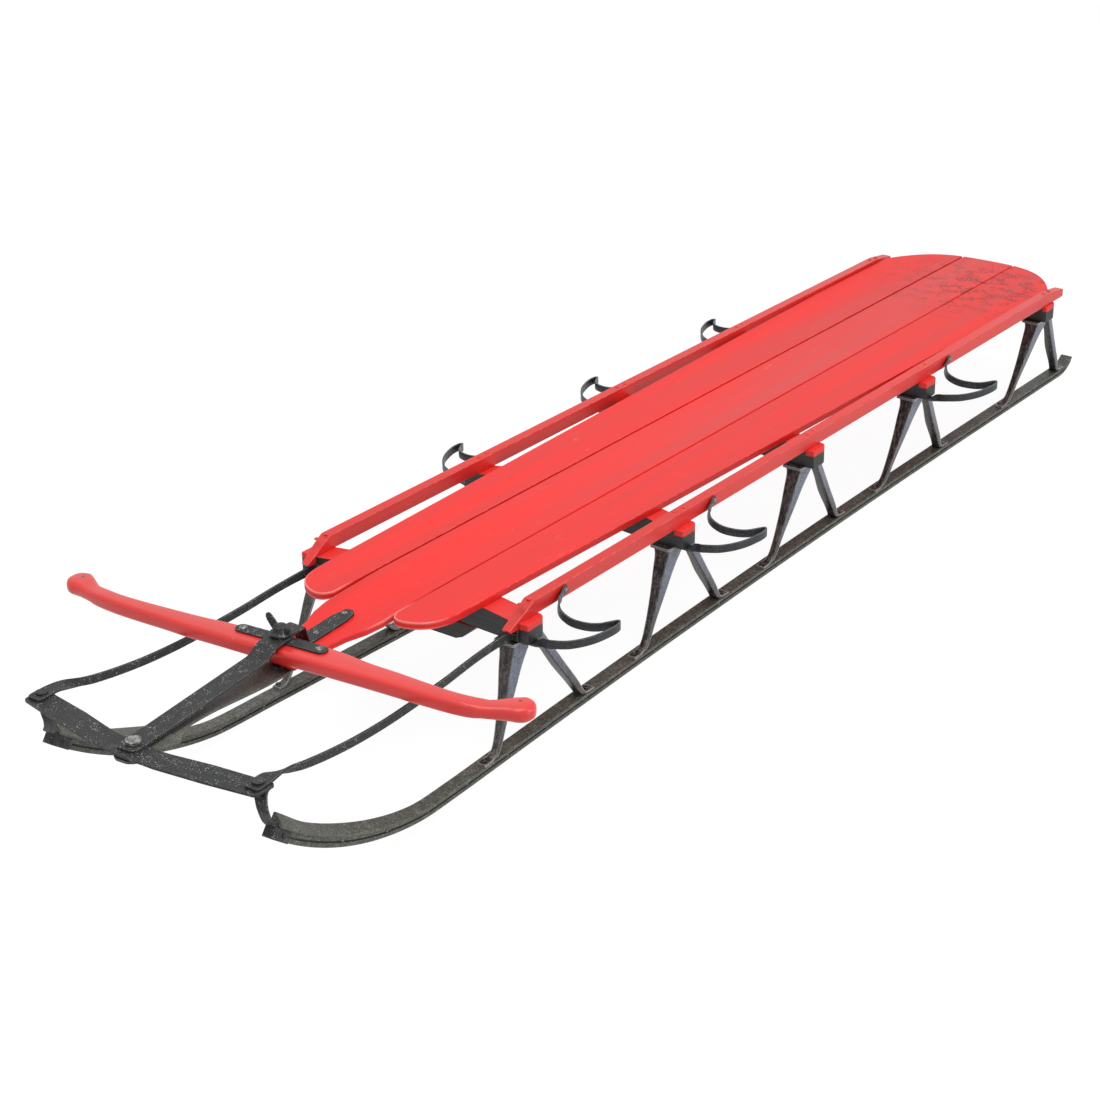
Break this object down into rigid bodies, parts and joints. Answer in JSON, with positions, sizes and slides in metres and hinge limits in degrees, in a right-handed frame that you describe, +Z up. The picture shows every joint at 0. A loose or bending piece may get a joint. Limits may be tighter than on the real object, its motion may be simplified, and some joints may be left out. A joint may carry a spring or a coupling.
{
  "type": "steerable snow sled",
  "caption": "Long wooden snow sled with a slatted deck on pressed-steel knees and steel runners, steered by a pivoted front bar that bends the runners' toes.",
  "frame": {"origin": "on the ground under the middle of the sled's length and of its deck's width", "axes": "+Z up, +Y toward the sled's tail, +X toward the left side of a rider who faces the front (-Y)"},
  "size_m": [0.8194, 2.6002, 0.2819],
  "materials": {
    "red_paint": "worn gloss red paint on wood",
    "black_paint": "black paint on wood",
    "black_iron": "chipped black paint on iron",
    "worn_iron": "worn dark iron",
    "runner_steel": "dull dark steel"
  },
  "bodies": {
    "sled": {"deck_board_left": "red_paint", "deck_board_middle": "red_paint", "deck_board_right": "red_paint", "rail_left": "red_paint", "rail_right": "red_paint", "bench_1": "black_paint", "bench_2": "black_paint", "bench_3": "black_paint", "bench_4": "black_paint", "bench_5": "black_paint", "knee_left_1": "black_iron", "knee_left_2": "black_iron", "knee_left_3": "black_iron", "knee_left_4": "black_iron", "knee_left_5": "black_iron", "knee_right_1": "black_iron", "knee_right_2": "black_iron", "knee_right_3": "black_iron", "knee_right_4": "black_iron", "knee_right_5": "black_iron", "runner_left_strip": "runner_steel", "runner_left_shoe": "runner_steel", "runner_right_strip": "runner_steel", "runner_right_shoe": "runner_steel", "foot_rest_left_1": "black_iron", "foot_rest_left_2": "black_iron", "foot_rest_left_4": "black_iron", "foot_rest_right_2": "black_iron", "foot_rest_right_3": "black_iron", "foot_rest_right_4": "black_iron", "tongue_top_iron": "black_iron", "tongue_bottom_iron": "black_iron", "pivot_bolt": "black_iron", "wing_nut": "black_iron", "strut_root_left": "black_iron", "strut_root_right": "black_iron"},
    "steering": {"steering_bar": "red_paint", "steering_cross_strap": "black_iron", "lever_top_strap": "black_iron", "lever_bottom_strap": "worn_iron"},
    "bumper_bar": {"bumper": "black_iron", "bumper_gusset": "black_iron", "pin_bolt": "black_iron", "bumper_rivet_left": "black_iron", "bumper_rivet_right": "black_iron"},
    "left_strut": {"strut_left": "black_iron"},
    "right_strut": {"strut_right": "black_iron"},
    "left_runner_front": {"runner_left_front_strip": "runner_steel", "runner_left_front_shoe": "runner_steel", "toe_block_left": "black_iron", "toe_strap_left": "black_iron"},
    "right_runner_front": {"runner_right_front_strip": "runner_steel", "runner_right_front_shoe": "runner_steel", "toe_block_right": "black_iron", "toe_strap_right": "black_iron"}
  },
  "joints": [
    {"name": "steering_pivot", "type": "hinge", "parent": "sled", "child": "steering", "pos_m": [0, -0.95787, 0.23], "axis": [0, 0, 1], "range_deg": [-18, 6]},
    {"name": "bumper_pin", "type": "hinge", "parent": "steering", "child": "bumper_bar", "pos_m": [0.03313, -1.27313, 0.23], "axis": [0, 0, 1], "range_deg": [-6, 18]},
    {"name": "left_strut_flex", "type": "hinge", "parent": "sled", "child": "left_strut", "pos_m": [0.195, -0.69587, 0.195], "axis": [0, 0, 1], "range_deg": [-10.3, 3.5]},
    {"name": "right_strut_flex", "type": "hinge", "parent": "sled", "child": "right_strut", "pos_m": [-0.195, -0.69587, 0.195], "axis": [0, 0, 1], "range_deg": [-10.3, 3.5]},
    {"name": "left_runner_flex", "type": "hinge", "parent": "sled", "child": "left_runner_front", "pos_m": [0.20242, -0.80337, 0.01], "axis": [0, 0, 1], "range_deg": [-12.9, 4.3]},
    {"name": "right_runner_flex", "type": "hinge", "parent": "sled", "child": "right_runner_front", "pos_m": [-0.20242, -0.80337, 0.01], "axis": [0, 0, 1], "range_deg": [-12.9, 4.3]}
  ],
  "couplings": [
    {"joint": "bumper_pin", "follows": "steering_pivot", "ratio": -1},
    {"joint": "left_strut_flex", "follows": "steering_pivot", "ratio": 0.56912},
    {"joint": "right_strut_flex", "follows": "steering_pivot", "ratio": 0.56912},
    {"joint": "left_runner_flex", "follows": "steering_pivot", "ratio": 0.71236},
    {"joint": "right_runner_flex", "follows": "steering_pivot", "ratio": 0.71236}
  ]
}
